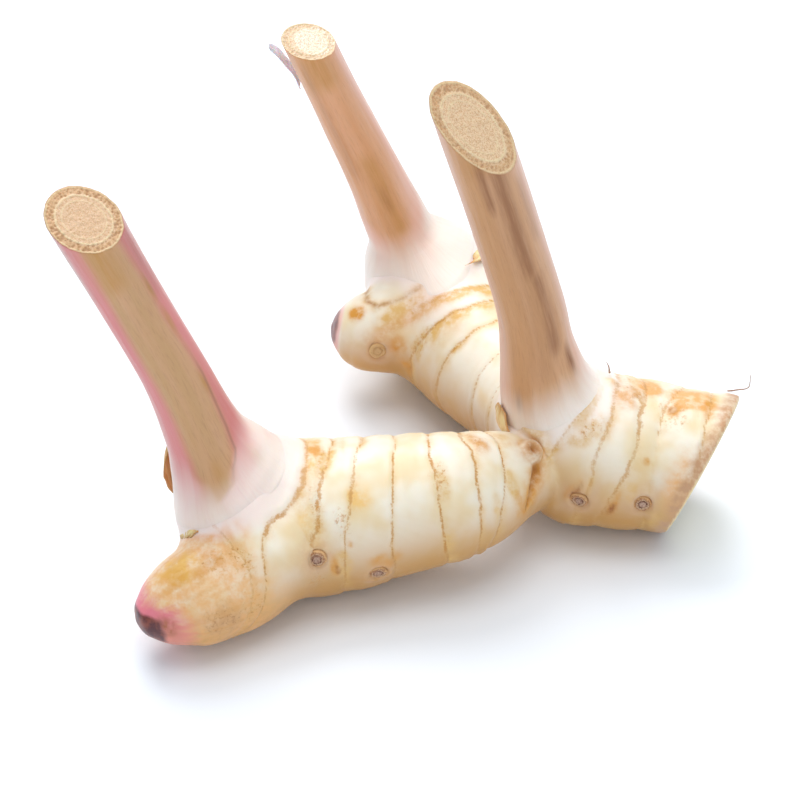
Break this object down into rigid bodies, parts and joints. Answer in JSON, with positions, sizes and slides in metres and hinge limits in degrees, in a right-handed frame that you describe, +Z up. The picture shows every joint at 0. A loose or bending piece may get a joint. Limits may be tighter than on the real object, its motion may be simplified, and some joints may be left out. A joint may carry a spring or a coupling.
{
  "type": "galangal root",
  "caption": "Fresh galangal rhizome with ringed branches, pointed buds, cut-off rootlets, dry scales and trimmed leafy stems, lying on its low points.",
  "frame": {"origin": "bottom centre of the bounding box, on the surface that the rhizome lies on", "axes": "+Z up; +X from the front bud towards the cut end of the right branch; +Y from the front finger towards the back branch"},
  "size_m": [0.1488, 0.1325, 0.1163],
  "materials": {
    "skin": "smooth waxy cream skin with tan ring scars, pink at the front bud and pale flesh at the cut end",
    "pink_stem": "smooth stem, khaki in the middle, pink at its flanks and white at its base, with a fibrous tan cut face",
    "tan_stem": "smooth brown-tan stem with darker stains and a white base, with a fibrous tan cut face",
    "salmon_stem": "smooth salmon-tan stem, pink then white at its base, with a pale cut face",
    "root_stump": "rough greyish brown, with a pale core",
    "dry_scale": "thin dry papery leaf scale, orange-brown with darker veins"
  },
  "bodies": {
    "root": {"rhizome": "skin", "front_stem": "pink_stem", "middle_stem": "tan_stem", "back_stem": "salmon_stem", "root_stump_1": "root_stump", "root_stump_2": "root_stump", "root_stump_3": "root_stump", "root_stump_4": "root_stump", "root_stump_5": "root_stump", "root_stump_6": "root_stump", "root_stump_7": "root_stump", "root_stump_8": "root_stump", "root_stump_9": "root_stump", "root_stump_10": "root_stump", "root_stump_11": "root_stump", "front_base_scale": "dry_scale", "back_base_scale": "dry_scale", "back_stem_strip": "dry_scale", "junction_scale": "dry_scale", "bud_scale": "dry_scale", "top_rootlet": "root_stump", "end_rootlet": "root_stump"}
  },
  "joints": []
}
